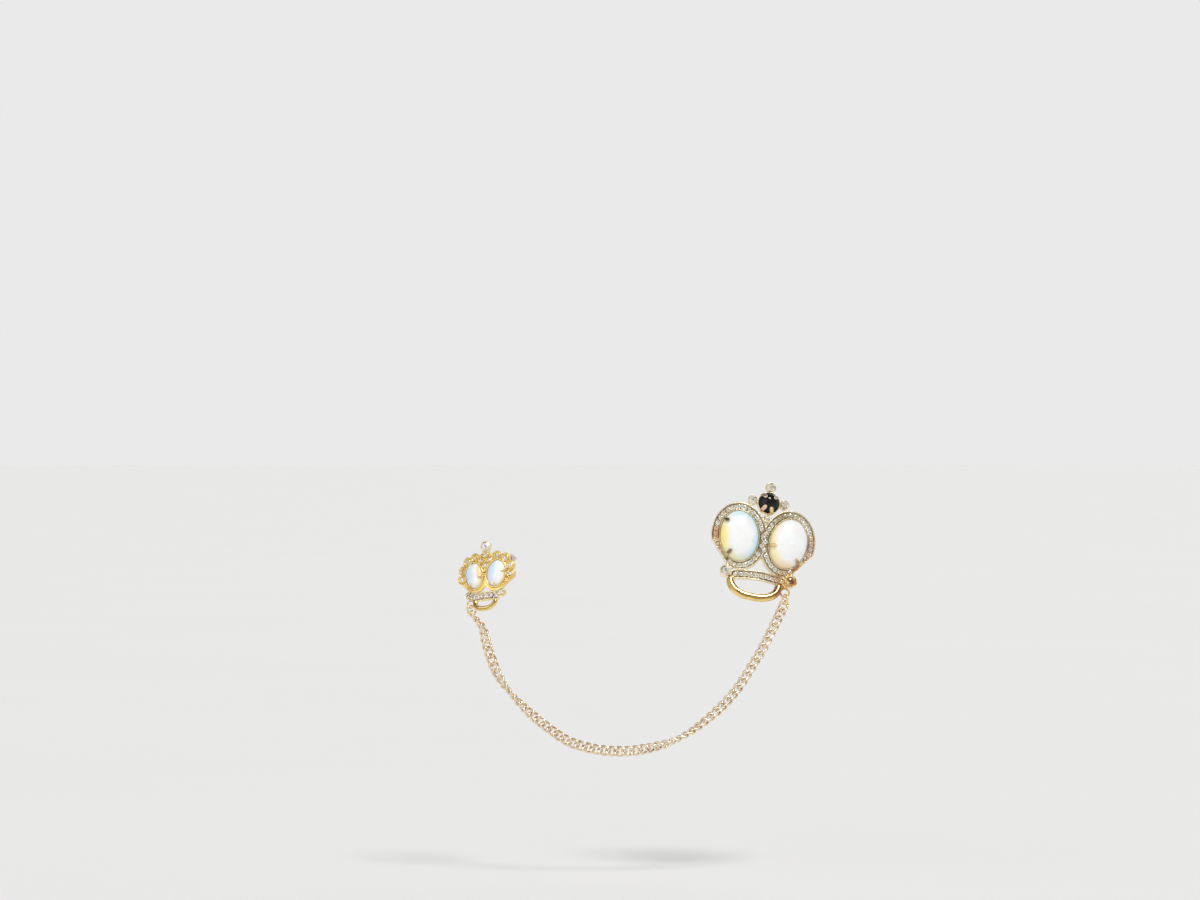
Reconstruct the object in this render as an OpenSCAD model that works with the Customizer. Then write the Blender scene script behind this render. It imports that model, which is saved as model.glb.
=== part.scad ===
/* [Large crown] */
// Width of a large oval stone
big_stone_w = 15.2; // [14.6:0.1:15.6]
// Height of a large oval stone
big_stone_h = 20.6; // [20:0.1:21]
// Rise of the dome of a large oval stone
big_dome = 3.9; // [3:0.1:4.4]
// Distance of each large stone from the middle line
big_stone_x = 9.8; // [9.6:0.1:10]
// Width of the stone-set band round each large stone
big_band = 3.6; // [3.4:0.1:3.8]
// Outward lean of the large stones
big_lean = 9; // [7:1:11]
// Height of the round black stone's middle above the middle of the ovals
black_y = 16; // [15.7:0.1:16.3]
// Diameter of the round black stone
black_d = 8.1; // [7.6:0.1:8.4]
// Diameter of the small brilliants of the large crown
big_chip_d = 2; // [1.8:0.1:2.1]
// Diameter of the round lower rim of the base
big_rim_d = 3.3; // [2.8:0.1:3.6]

/* [Small crown] */
// Width of a small oval stone
small_stone_w = 7.6; // [7.2:0.1:7.8]
// Height of a small oval stone
small_stone_h = 10.8; // [10.4:0.1:11]
// Rise of the dome of a small oval stone
small_dome = 2.1; // [1.6:0.1:2.6]
// Distance of each small stone from the middle line
small_stone_x = 4.75; // [4.7:0.05:4.9]
// Outward lean of the small stones
small_lean = 10; // [8:1:12]
// Diameter of the brilliants along the scalloped arch
small_chip_d = 1.9; // [1.7:0.1:2]
// Diameter of the round lower rim of the base
small_rim_d = 2.1; // [1.8:0.1:2.3]

/* [Chain] */
// Number of links
link_count = 57; // [56:1:58]
// Length of a link along the middle of its wire
link_l = 4.6; // [4.5:0.05:4.7]
// Width of a link along the middle of its wire
link_w = 3.2; // [3.15:0.05:3.3]
// Diameter of the link wire
link_wire = 1.04; // [0.9:0.02:1.06]
// Height of the curb twist to each side of a link's plane
link_twist = 0.9; // [0.85:0.05:1]

/* [Hidden] */

gold = "#c9a04e";
champagne = "#c4b596";
opal_white = "#e9eef2";
rhinestone = "#dfe3e6";
round_fn = 48;

// Free space between a stone and its metal
gap = 0.12;
// Wall round each oval stone
bezel = 0.42;
// Raised rail along the outer edge
rail = 0.5;

// Heights above the back of the large crown
big_floor = 1.9;
big_rail_top = 2.35;
big_bezel_top = 2.7;
big_ledge = 0.8;
big_girdle = 1.3;
big_claw_z = big_ledge + gap + big_girdle;
// Each half of a crown falls away to its side by this angle
big_fall = 7;
small_fall = 6;

big_a = big_stone_w / 2;
big_b = big_stone_h / 2;
big_centre = [big_stone_x, 0.8];
// The straight flank below each oval runs from one of these points to the other
flank_top = [20.1, -2.6];
flank_low = [14.2, -10];

// Middles of the larger round stones and their diameters
base_ball = [13.2, -14];
base_stone_d = 3.9;
side_ball = [6.3, 16.4];
side_stone_d = 3.3;
top_ball = [0, 22.4];
top_stone_d = 3.4;
valley = [0, 9.3];
valley_stone_d = 2.1;
big_rim_x = -1.3;
big_loop = [11.4, -18.9, -0.2];
big_loop_r = 1.75;
big_loop_wire = 0.75;

// Heights above the back of the small crown
small_floor = 1.3;
small_bezel_top = 2.1;
small_ledge = 0.6;
small_girdle = 0.8;
small_claw_z = small_ledge + gap + small_girdle;
small_a = small_stone_w / 2;
small_b = small_stone_h / 2;
small_centre = [small_stone_x, 0.4];
// Middles of the scallops and their stones, from the finial outwards
scallops = [[4.85, 7.7], [8.3, 6.5], [10.25, 3.2], [10.6, -0.3]];
scallop_r = 2.15;
finial = [0, 12.1];
finial_stone_d = 3.3;
centre_spots = [[0, 8.4], [-1.9, 6.3], [1.9, 6.3], [0, 4]];
pin_spots = [[0, 2], [0, 0.2]];
small_ball = [7.2, -7.6];
small_base_stone_d = 2.3;
small_loop = [-6.7, -11.1, 0.2];
small_loop_r = 1.5;
small_loop_wire = 0.6;

// Turn of each crown as worn, then the place of its own origin
big_turn = [-15, 10, 6];
small_turn = [-17, -7.3, -25];
big_pin = [0, 4, -4.6];
small_pin_at = [1, 7.2, -3.9];
small_pin_place = [-107.4, 0, -10.2];

// Where each jump ring and end link sits, measured from the middle of its loop
big_ring_from_loop = [0.04, -0.46, -2.58];
big_link_from_loop = [-0.66, -0.83, -5.37];
big_ring_turn = [5, 0, 116];
big_ring_r = 1.95;
big_ring_wire = 0.8;
small_ring_from_loop = [0.29, -0.48, -2.17];
small_link_from_loop = [1.3, -0.6, -4.7];
small_ring_turn = [-14, 0, 30];
small_ring_r = 1.9;
small_ring_wire = 0.7;

// Hanging curve of the chain between its end links
route = [
    // x, y, z
    [-111.7, -7.9, -36.7],
    [-109.2, -9, -45.6],
    [-105, -10.8, -55.8],
    [-97.6, -12.8, -65.2],
    [-87.7, -14.8, -74],
    [-74.8, -16.6, -82.1],
    [-56.9, -17.6, -85],
    [-39.1, -16.8, -82.1],
    [-25.7, -15.2, -75.1],
    [-12.3, -13.4, -62.9],
    [-2.4, -12, -48.1],
    [3.4, -11.2, -37.4]
];
// Roll of the links along the chain
rolls = [
    // link, roll
    [0, 92],
    [3, 45],
    [7, -20],
    [11, -90],
    [16, -165],
    [22, -182],
    [29, -190],
    [35, -270],
    [41, -316],
    [52, -318],
    [57, -364]
];

// A vector turned about X, then Y, then Z
function turn_x(v, a) = [v.x, v.y * cos(a) - v.z * sin(a), v.y * sin(a) + v.z * cos(a)];
function turn_y(v, a) = [v.x * cos(a) + v.z * sin(a), v.y, v.z * cos(a) - v.x * sin(a)];
function turn_z(v, a) = [v.x * cos(a) - v.y * sin(a), v.x * sin(a) + v.y * cos(a), v.z];
function turned(v, t) = turn_z(turn_y(turn_x(v, t.x), t.y), t.z);
// A point of a crown's own frame in the worn pose
function worn_point(v, t, place) = place + turned(turn_x(v, 90), t);

big_place = -turned(turn_x(big_pin, 90), big_turn);
small_place = small_pin_place - turned(turn_x(small_pin_at, 90), small_turn);
big_loop_at = worn_point(big_loop, big_turn, big_place);
small_loop_at = worn_point(small_loop, small_turn, small_place);

function unit(v) = v / norm(v);
function rotated(p, a) = [p.x * cos(a) - p.y * sin(a), p.x * sin(a) + p.y * cos(a)];
function oval(a, b, n = 56) = [for (i = [0 : n - 1]) [a * cos(i * 360 / n), b * sin(i * 360 / n)]];
// A point pushed back onto a straight line where it lies beyond it
function held(p, q, n) = p - max(0, (p - q) * n) * n;

// The flank line in the frame of the leaning oval
flank_a = rotated(flank_top - big_centre, big_lean);
flank_b = rotated(flank_low - big_centre, big_lean);
flank_n = unit([flank_a.y - flank_b.y, flank_b.x - flank_a.x]);
function ring_edge(inset, n = 64) = [
    for (p = oval(big_a + big_band - inset, big_b + big_band - inset, n))
        held(p, flank_a - inset * flank_n, flank_n)
];

// Pairs of the length walked along an oval and the angle reached there
walk = 3;
function oval_step(a, b, t) = norm([a * sin(t), b * cos(t)]) * walk * PI / 180;
function oval_table(a, b) = [
    for (t = 0, s = 0; t <= 360; s = s + oval_step(a, b, t + walk / 2), t = t + walk)
        [s, t]
];

module slab(points, low, high) {
    translate([0, 0, low])
        linear_extrude(high - low)
            polygon(points);
}

module disc(p, r, low, high) {
    translate([p.x, p.y, low])
        cylinder(h = high - low, r = r, $fn = round_fn);
}

module box_between(a, b) {
    translate(a)
        cube(b - a);
}

// Right half, or its mirror image for side = -1, falling away to its side
module half(side, fall) {
    mirror([side < 0 ? 1 : 0, 0, 0])
        rotate([0, fall, 0])
            children();
}

module leaning(centre, lean) {
    translate([centre.x, centre.y, 0])
        rotate([0, 0, -lean])
            children();
}

module worn_big() {
    translate(big_place)
        rotate(big_turn)
            rotate([90, 0, 0])
                children();
}

module worn_small() {
    translate(small_place)
        rotate(small_turn)
            rotate([90, 0, 0])
                children();
}

// Faces that join n rings of m points and close both ends
function skin(n, m) = concat(
    [[for (j = [0 : m - 1]) j]],
    [for (i = [0 : n - 2], j = [0 : m - 1])
        [i * m + j, (i + 1) * m + j, (i + 1) * m + (j + 1) % m, i * m + (j + 1) % m]],
    [[for (j = [m - 1 : -1 : 0]) (n - 1) * m + j]]
);
// Triangles of a closed loop of n rings
function loop_skin(n, m) = [
    for (i = [0 : n - 1], j = [0 : m - 1])
        let (
            a = i * m + j,
            b = ((i + 1) % n) * m + j,
            c = ((i + 1) % n) * m + (j + 1) % m,
            d = i * m + (j + 1) % m
        )
            each [[a, b, c], [a, c, d]]
];

// Oval stone with an upright girdle and a domed top, standing on z = 0
module cabochon(a, b, girdle, dome, around = 20) {
    rows = [[0.94, 0], [1, 0.3], [1, girdle]];
    domed = [for (t = [22, 42, 60, 76]) [cos(t), girdle + dome * sin(t)]];
    all_rows = concat(rows, domed);
    points = [
        for (row = all_rows, i = [0 : around - 1])
            [a * row[0] * cos(i * 360 / around), b * row[0] * sin(i * 360 / around), row[1]]
    ];
    color(opal_white)
        polyhedron(points, skin(len(all_rows), around));
}

// Cut round stone with a table, crown facets and a pavilion; its girdle lies on z = 0
module brilliant(d, sides = 8) {
    r = d / 2;
    rows = [[0.25, -0.5], [1, 0], [0.6, 0.42]];
    points = [
        for (row = rows, i = [0 : sides - 1])
            [r * row[0] * cos(i * 360 / sides), r * row[0] * sin(i * 360 / sides), r * row[1]]
    ];
    color(rhinestone)
        polyhedron(points, skin(len(rows), sides));
}

// Pocket that holds a brilliant, from its bottom to open air
module seat(p, d, girdle_z, sides = 8) {
    r = d / 2 + gap * 1.2;
    translate([p.x, p.y, girdle_z - d / 4 - gap])
        cylinder(h = d / 4 + gap + 3, r = r, $fn = sides);
}

// Height of a dome grown by g, at a point of its base oval
function dome_z(p, a, b, girdle_z, dome, g) =
    girdle_z + (dome + g) * sqrt(max(0, 1 - pow(p.x / (a + g), 2) - pow(p.y / (b + g), 2)));

// Claw that rises beside the girdle and bends over the dome
module claw(a, b, girdle_z, dome, angle, wide, reach, foot_z, thick = 0.62) {
    q = [a * cos(angle), b * sin(angle)];
    n = -unit([cos(angle) / a, sin(angle) / b]);
    steps = 5;
    inner = [
        for (i = [0 : steps])
            let (d = -0.15 + i * (reach + 0.15) / steps)
                [d, i == 0 ? girdle_z : dome_z(q + d * n, a, b, girdle_z, dome, 0.16)]
    ];
    outer = [
        for (i = [steps : -1 : 0])
            let (d = -0.15 - thick + i * (reach + 0.15 + thick) / steps)
                [d, i == 0 ? girdle_z : dome_z(q + d * n, a, b, girdle_z, dome, 0.16 + thick)]
    ];
    profile = concat([[-0.15 - thick, foot_z], [-0.15, foot_z]], inner, outer);
    // Seen from the front the claw is a leaf with a narrow foot and a round tip
    tip = 0.45 * wide;
    leaf = concat(
        [[-0.3 - thick, 0.34 * wide], [-0.3 - thick, -0.34 * wide]],
        [for (t = [-90 : 30 : 90]) [reach - tip + (tip + 0.02) * cos(t), tip * sin(t)]]
    );
    translate([q.x, q.y, 0])
        rotate([0, 0, atan2(n.y, n.x)])
            intersection() {
                rotate([90, 0, 0])
                    translate([0, 0, -wide / 2])
                        linear_extrude(wide)
                            polygon(profile);
                slab(leaf, foot_z - 1, girdle_z + dome + 2);
            }
}

// Round bar along the lower half of an oval, with squarer shoulders than an ellipse
module rim(half_w, drop, top_y, d, z_end, z_mid) {
    n = 26;
    m = 10;
    k = 0.9;
    path = [
        for (i = [0 : n])
            let (t = i * 180 / n)
                [-half_w * sign(cos(t)) * pow(abs(cos(t)), k), top_y - drop * pow(sin(t), k),
                 z_end + (z_mid - z_end) * sin(t)]
    ];
    points = [
        for (i = [0 : n])
            let (
                along = unit(path[min(n, i + 1)] - path[max(0, i - 1)]),
                side = unit(cross(along, [0, 0, 1])),
                up = cross(along, side)
            )
                for (j = [0 : m - 1])
                    path[i] + d / 2 * (cos(j * 360 / m) * side + sin(j * 360 / m) * up)
    ];
    polyhedron(points, skin(n + 1, m));
}

// Plain bar pin: strip, hinge block, stem and catch in one piece
module bar_pin(length, stem_z, stem_d, strip_top, strip_w) {
    block = 3;
    translate([-length / 2, -strip_w / 2, strip_top - 0.8])
        cube([length, strip_w, 0.8]);
    translate([-length / 2 + 0.4, -1.1, stem_z - 0.9])
        cube([block, 2.2, strip_top - stem_z + 0.2]);
    translate([length / 2 - 0.4 - block, -1.1, stem_z - 0.9])
        cube([block, 2.2, strip_top - stem_z + 0.2]);
    translate([-length / 2 + 1, 0, stem_z])
        rotate([0, 90, 0])
            cylinder(h = length - 0.6, d = stem_d, $fn = 24);
}

module ring_wire(r, wire) {
    rotate_extrude($fn = round_fn)
        translate([r, 0])
            circle(d = wire, $fn = 24);
}

// Large crown

// Middle line of the stone band and the stones along it: place, then diameter
big_mid = (bezel + big_band - rail) / 2 + 0.03;
big_chip_pitch = big_chip_d + 0.27;
big_chip_z = big_floor + 0.12;
band_chip_d = big_chip_d * 0.95;
mid_a = big_a + big_mid;
mid_b = big_b + big_mid;
mid_table = oval_table(mid_a, mid_b);

function band_spot(t) =
    let (
        inner = [(big_a + bezel) * cos(t), (big_b + bezel) * sin(t)],
        out = [(big_a + big_band) * cos(t), (big_b + big_band) * sin(t)],
        outer = held(out, flank_a, flank_n),
        across = norm(outer - inner),
        middle = inner + (outer - inner) * (across - rail) / across / 2
    )
        [middle.x, middle.y, min(big_chip_d, across - rail - 2 * gap - 0.1)];
function wrapped(s, whole) = s - whole * floor(s / whole);
mid_whole = mid_table[len(mid_table) - 1][0];
// Stones that would fill the whole band, and the share of its length where the first one sits
ring_places = 30;
ring_start = 0.385;
function ring_angle(i) =
    lookup(wrapped((ring_start + i / ring_places) * mid_whole, mid_whole), mid_table);
// Places without those that meet the other band or the narrow part of the flank
ring_spots = [
    for (i = [0 : ring_places - 1])
        let (
            spot = band_spot(ring_angle(i)),
            placed = big_centre + rotated([spot.x, spot.y], -big_lean)
        )
            if (placed.x > 1.25 && spot.z > 1.25) spot
];
// Two staggered columns of stones between the ovals
middle_spots = [for (i = [0 : 4]) [i % 2 == 0 ? 0.62 : -0.62, 3.3 - i * 1.72]];
middle_chip_d = big_chip_d * 0.95;

// Base band between two arcs
band_top = -12.4;
band_low = -16;
band_end = 11.1;
band_sag = 1.1;
function arc_y(x, y0) = y0 - band_sag * pow(x / band_end, 2);
function band_outline(inset) = concat(
    [for (i = [0 : 8]) let (x = i * (band_end - inset) / 8) [x, arc_y(x, band_top - inset)]],
    [for (i = [8 : -1 : 0]) let (x = i * (band_end - inset) / 8) [x, arc_y(x, band_low + inset)]]
);
band_mid = (band_top + band_low) / 2;
band_spots = [for (i = [0 : 4]) let (x = 0.83 + i * 2.12) [x, arc_y(x, band_mid)]];

module big_half_solid() {
    leaning(big_centre, big_lean) {
        slab(ring_edge(0), 0, big_rail_top);
        slab(oval(big_a + gap + bezel, big_b + gap + bezel), 0, big_bezel_top);
    }
    slab(concat([[-0.3, band_low], [-0.3, band_top]], band_outline(0)), 0, big_rail_top);
    // Web that ties the foot of the oval to the base
    slab([[5.5, -12], [13, -10], [14.2, -12.5], [12, -17], [8, -14]], 0, 1.7);
    disc(base_ball, 2.4, -0.2, 2.3);
    disc(side_ball, 2.05, -0.1, 2.2);
}

module big_half_cuts() {
    leaning(big_centre, big_lean) {
        difference() {
            slab(ring_edge(rail), big_floor, 6);
            slab(oval(big_a + gap + bezel, big_b + gap + bezel), 0, 7);
        }
        slab(oval(big_a + gap, big_b + gap), big_ledge, 9);
        slab(oval(big_a - 1, big_b - 1), -1, 2);
        for (spot = ring_spots)
            seat(spot, spot.z, big_chip_z);
    }
    slab(concat([[-0.4, band_low + rail * 0.9], [-0.4, band_top - rail * 0.9]], band_outline(rail * 0.9)),
         big_floor, 6);
    for (p = band_spots)
        seat(p, band_chip_d, big_chip_z);
    disc(base_ball, base_stone_d / 2 + gap, 1, 4);
    disc(side_ball, side_stone_d / 2 + gap, 1, 4);
    // Small gap between the foot of the oval and the base
    translate([9.9, -12.9, -1])
        cylinder(h = 6, d = 1.3, $fn = 24);
}

module large_crown_frame() {
    color(champagne)
        worn_big() {
            difference() {
                union() {
                    for (side = [-1, 1])
                        half(side, big_fall)
                            big_half_solid();
                    disc([0, black_y], black_d / 2 + 0.5, -0.4, 1.9);
                    disc(top_ball, 2.1, -0.2, 2.1);
                    disc(valley, 1.45, -0.2, 2.1);
                    // Bars from the rings to the cups of the top
                    box_between([-3.4, 8.5, -0.2], [3.4, 10.1, 1.3]);
                    box_between([-0.9, 9.5, -0.2], [0.9, 12, 1.1]);
                    box_between([-0.9, 19.8, -0.2], [0.9, 21.5, 1.3]);
                    translate([big_rim_x, 0, 0])
                        rim(9.8, 6.5, -16.9, big_rim_d, 0.2, 2.3);
                }
                for (side = [-1, 1])
                    half(side, big_fall)
                        big_half_cuts();
                for (p = middle_spots)
                    seat(p, middle_chip_d, big_chip_z);
                disc([0, black_y], black_d / 2 + gap, 0.7, 4);
                disc(top_ball, top_stone_d / 2 + gap, 1, 4);
                disc(valley, valley_stone_d / 2 + gap, 1, 4);
            }
            translate(big_loop)
                ring_wire(big_loop_r, big_loop_wire);
            translate([0, black_y, 0])
                for (angle = [44, 135, 234, 290])
                    claw(black_d / 2, black_d / 2, 1.3, 3, angle, 1.8, 1.9, 0.2);
            for (angle = [41, -48])
                half(-1, big_fall)
                    leaning(big_centre, big_lean)
                        claw(big_a, big_b, big_claw_z, big_dome, angle, 1.8, 2.3, 1.2);
            for (angle = [199, -40])
                half(1, big_fall)
                    leaning(big_centre, big_lean)
                        claw(big_a, big_b, big_claw_z, big_dome, angle, 1.5, 2.2, 1.2);
        }
}

module large_pin() {
    color("silver")
        worn_big()
            translate([big_pin.x, big_pin.y, 0])
                bar_pin(36, big_pin.z, 1, -2.45, 3);
}

module large_opal(side) {
    worn_big()
        half(side, big_fall)
            leaning(big_centre, big_lean)
                translate([0, 0, big_ledge + gap])
                    cabochon(big_a, big_b, big_girdle, big_dome, 24);
}

module large_opal_left() {
    large_opal(-1);
}

module large_opal_right() {
    large_opal(1);
}

// Round black stone, turned about its own axis
module large_black_cabochon() {
    color("#101014")
        worn_big()
            translate([0, black_y, 0.7 + gap])
                rotate_extrude($fn = round_fn)
                    polygon(concat(
                        [[0, 0], [black_d / 2, 0], [black_d / 2, 0.5]],
                        [for (t = [15 : 15 : 90]) [black_d / 2 * cos(t), 0.5 + 3 * sin(t)]]
                    ));
}

module large_top_stone() {
    worn_big()
        translate([top_ball.x, top_ball.y, 2.1])
            brilliant(top_stone_d, 12);
}

module large_side_stone(side) {
    worn_big()
        half(side, big_fall)
            translate([side_ball.x, side_ball.y, 2.1])
                brilliant(side_stone_d, 12);
}

module large_side_stone_left() {
    large_side_stone(-1);
}

module large_side_stone_right() {
    large_side_stone(1);
}

module large_valley_stone() {
    worn_big()
        translate([valley.x, valley.y, 1.9])
            brilliant(valley_stone_d);
}

module large_base_stone(side) {
    worn_big()
        half(side, big_fall)
            translate([base_ball.x, base_ball.y, 2.2])
                brilliant(base_stone_d, 12);
}

module large_base_stone_left() {
    large_base_stone(-1);
}

module large_base_stone_right() {
    large_base_stone(1);
}

module large_ring_stones(side) {
    worn_big()
        half(side, big_fall)
            leaning(big_centre, big_lean)
                for (spot = ring_spots)
                    translate([spot.x, spot.y, big_chip_z])
                        brilliant(spot.z);
}

module large_ring_stones_left() {
    large_ring_stones(-1);
}

module large_ring_stones_right() {
    large_ring_stones(1);
}

module large_middle_stones() {
    worn_big()
        for (p = middle_spots)
            translate([p.x, p.y, big_chip_z])
                brilliant(middle_chip_d);
}

module large_band_stones() {
    worn_big()
        for (side = [-1, 1])
            half(side, big_fall)
                for (p = band_spots)
                    translate([p.x, p.y, big_chip_z])
                        brilliant(band_chip_d);
}

// Small crown

small_band_top = -6.9;
small_band_low = -10.3;
small_band_end = 5.9;
small_rail_top = 1.75;
small_chip_z = small_floor + 0.1;
centre_chip_d = small_chip_d * 0.9;
small_band_chip_d = small_chip_d * 0.93;
small_band_spots = [for (i = [0 : 2]) [(i + 0.5) * 1.95, (small_band_top + small_band_low) / 2]];

module small_half_solid() {
    leaning(small_centre, small_lean)
        slab(oval(small_a + gap + 0.55, small_b + gap + 0.55, 48), 0, small_bezel_top);
    // Plate that backs the arch and the flank
    slab([[-0.2, -4.4], [3, -6.9], [7.6, -5.6], [11.3, -2.2], [11.4, 3.3], [9.3, 7.2], [4.8, 8.6],
          [-0.2, 9.6]], 0, small_floor);
    for (p = scallops)
        disc(p, scallop_r, 0, small_floor);
    for (p = scallops)
        disc(p, small_chip_d / 2 + 0.45, 0, small_floor + 0.4);
    slab([[-0.2, small_band_low], [-0.2, small_band_top], [small_band_end, small_band_top],
          [small_band_end, small_band_low]], 0, small_rail_top);
    slab([[2.6, -7.4], [3.6, -5.6], [7.4, -5], [7.6, -7.4]], 0, small_floor);
    disc(small_ball, 1.55, -0.1, 1.9);
}

module small_half_cuts() {
    leaning(small_centre, small_lean) {
        slab(oval(small_a + gap, small_b + gap, 48), small_ledge, 6);
        slab(oval(small_a - 0.8, small_b - 0.8, 48), -1, 2);
    }
    for (p = scallops)
        seat(p, small_chip_d, small_chip_z);
    slab([[-0.4, small_band_low + 0.4], [-0.4, small_band_top - 0.4],
          [small_band_end - 0.3, small_band_top - 0.4], [small_band_end - 0.3, small_band_low + 0.4]],
         small_floor, 5);
    for (p = small_band_spots)
        seat(p, small_band_chip_d, small_chip_z);
    disc(small_ball, small_base_stone_d / 2 + gap, 0.9, 4);
}

module small_crown_frame() {
    color(gold)
        worn_small() {
            difference() {
                union() {
                    for (side = [-1, 1])
                        half(side, small_fall)
                            small_half_solid();
                    disc(finial, 2.1, -0.1, 1.9);
                    box_between([-1.5, 8.5, -0.1], [1.5, 11, 1.3]);
                    for (p = centre_spots)
                        disc(p, 1.2, 0, small_floor + 0.4);
                    for (p = pin_spots)
                        disc(p, 0.7, 0, small_floor + 0.5);
                    rim(4.45, 3.2, -10.6, small_rim_d, 0.4, 1.5);
                }
                for (side = [-1, 1])
                    half(side, small_fall)
                        small_half_cuts();
                for (p = centre_spots)
                    seat(p, centre_chip_d, small_chip_z);
                disc(finial, finial_stone_d / 2 + gap, 0.9, 4);
            }
            translate(small_loop)
                ring_wire(small_loop_r, small_loop_wire);
            for (angle = [106, 197, -12, -54])
                half(-1, small_fall)
                    leaning(small_centre, small_lean)
                        claw(small_a, small_b, small_claw_z, small_dome, angle, 0.95, 1.1, 0.6, 0.45);
            for (angle = [-80, 12])
                half(1, small_fall)
                    leaning(small_centre, small_lean)
                        claw(small_a, small_b, small_claw_z, small_dome, angle, 0.95, 1.1, 0.6, 0.45);
        }
}

module small_pin() {
    color("silver")
        worn_small()
            translate([small_pin_at.x, small_pin_at.y, 0])
                bar_pin(19.5, small_pin_at.z, 0.9, -1.5, 2.4);
}

module small_opal(side) {
    worn_small()
        half(side, small_fall)
            leaning(small_centre, small_lean)
                translate([0, 0, small_ledge + gap])
                    cabochon(small_a, small_b, small_girdle, small_dome);
}

module small_opal_left() {
    small_opal(-1);
}

module small_opal_right() {
    small_opal(1);
}

module small_finial_stone() {
    worn_small()
        translate([finial.x, finial.y, 1.8])
            brilliant(finial_stone_d, 12);
}

module small_base_stone(side) {
    worn_small()
        half(side, small_fall)
            translate([small_ball.x, small_ball.y, 1.8])
                brilliant(small_base_stone_d, 12);
}

module small_base_stone_left() {
    small_base_stone(-1);
}

module small_base_stone_right() {
    small_base_stone(1);
}

module small_arch_stones() {
    worn_small()
        for (side = [-1, 1])
            half(side, small_fall)
                for (p = scallops)
                    translate([p.x, p.y, small_chip_z])
                        brilliant(small_chip_d);
}

module small_centre_stones() {
    worn_small()
        for (p = centre_spots)
            translate([p.x, p.y, small_chip_z])
                brilliant(centre_chip_d);
}

module small_band_stones() {
    worn_small()
        for (side = [-1, 1])
            half(side, small_fall)
                for (p = small_band_spots)
                    translate([p.x, p.y, small_chip_z])
                        brilliant(small_band_chip_d);
}

// Chain and its rings

module large_jump_ring() {
    color(gold)
        translate(big_loop_at + big_ring_from_loop)
            rotate(big_ring_turn)
                rotate([90, 0, 0])
                    ring_wire(big_ring_r, big_ring_wire);
}

module small_jump_ring() {
    color(gold)
        translate(small_loop_at + small_ring_from_loop)
            rotate(small_ring_turn)
                rotate([90, 0, 0])
                    ring_wire(small_ring_r, small_ring_wire);
}

whole_route = concat([small_loop_at + small_link_from_loop], route,
                     [big_loop_at + big_link_from_loop]);
route_last = len(whole_route) - 1;
// Smooth curve through the points of the route
function route_point(u) =
    let (
        i = min(floor(u), route_last - 1),
        f = u - i,
        p1 = whole_route[i],
        p2 = whole_route[i + 1],
        p0 = i > 0 ? whole_route[i - 1] : 2 * p1 - p2,
        p3 = i + 2 <= route_last ? whole_route[i + 2] : 2 * p2 - p1
    )
        0.5 * (2 * p1 + (p2 - p0) * f + (2 * p0 - 5 * p1 + 4 * p2 - p3) * f * f
               + (3 * p1 - p0 - 3 * p2 + p3) * f * f * f);
fine = 0.05;
// Length along the curve against the curve's own parameter
route_table = [
    for (u = 0, s = 0; u <= route_last + fine / 2;
         s = s + norm(route_point(min(route_last, u + fine)) - route_point(u)), u = u + fine)
        [s, u]
];
route_length = route_table[len(route_table) - 1][0];
link_pitch = route_length / (link_count - 1);

function link_centre(i) = route_point(min(route_last, lookup(i * link_pitch, route_table)));

// Points of one curb link: an oval of wire whose sides twist out of its plane
link_steps = 12;
link_sides = 6;
function link_curve(c, along, across, up, t) =
    c + link_l / 2 * cos(t) * along + link_w / 2 * sin(t) * across + link_twist * sin(2 * t) * up;

module link(i) {
    c = link_centre(i);
    along = unit(link_centre(min(link_count - 1, i + 0.5)) - link_centre(max(0, i - 0.5)));
    front = unit([0, -1, 0] - along * ([0, -1, 0] * along));
    beside = cross(front, along);
    roll = lookup(i, rolls);
    up = cos(roll) * front + sin(roll) * beside;
    across = cross(up, along);
    points = [
        for (k = [0 : link_steps - 1])
            let (
                t = k * 360 / link_steps,
                p = link_curve(c, along, across, up, t),
                ahead = unit(link_curve(c, along, across, up, t + 4)
                             - link_curve(c, along, across, up, t - 4)),
                side = unit(cross(ahead, up)),
                above = cross(ahead, side)
            )
                for (j = [0 : link_sides - 1])
                    p + link_wire / 2 * (cos(j * 360 / link_sides) * side
                                         + sin(j * 360 / link_sides) * above)
    ];
    polyhedron(points, loop_skin(link_steps, link_sides));
}

module chain() {
    color("#b9a68a")
        for (i = [0 : link_count - 1])
            link(i);
}

large_crown_frame();
large_pin();
large_opal_left();
large_opal_right();
large_black_cabochon();
large_top_stone();
large_side_stone_left();
large_side_stone_right();
large_valley_stone();
large_base_stone_left();
large_base_stone_right();
large_ring_stones_left();
large_ring_stones_right();
large_middle_stones();
large_band_stones();
small_crown_frame();
small_pin();
small_opal_left();
small_opal_right();
small_finial_stone();
small_base_stone_left();
small_base_stone_right();
small_arch_stones();
small_centre_stones();
small_band_stones();
large_jump_ring();
small_jump_ring();
chain();
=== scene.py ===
"""Chatelaine brooch: two crown brooches set with opal glass and rhinestones, joined by a curb chain."""

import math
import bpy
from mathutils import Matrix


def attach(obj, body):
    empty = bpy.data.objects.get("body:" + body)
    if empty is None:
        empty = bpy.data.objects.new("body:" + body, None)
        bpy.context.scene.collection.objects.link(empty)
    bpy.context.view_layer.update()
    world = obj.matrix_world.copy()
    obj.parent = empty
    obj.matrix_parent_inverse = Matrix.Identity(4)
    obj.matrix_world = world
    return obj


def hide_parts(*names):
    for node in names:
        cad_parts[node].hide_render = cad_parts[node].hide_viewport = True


bl_info = {
    "name": "Chatelaine brooch",
    "version": (1, 0, 0),
    "blender": (4, 5, 0),
    "location": "3D View > Sidebar > Brooch",
    "description": "Dresses the two crowns, their stones, the pins, the rings and the chain",
    "category": "Object",
}

from contextlib import contextmanager
from itertools import combinations

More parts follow.
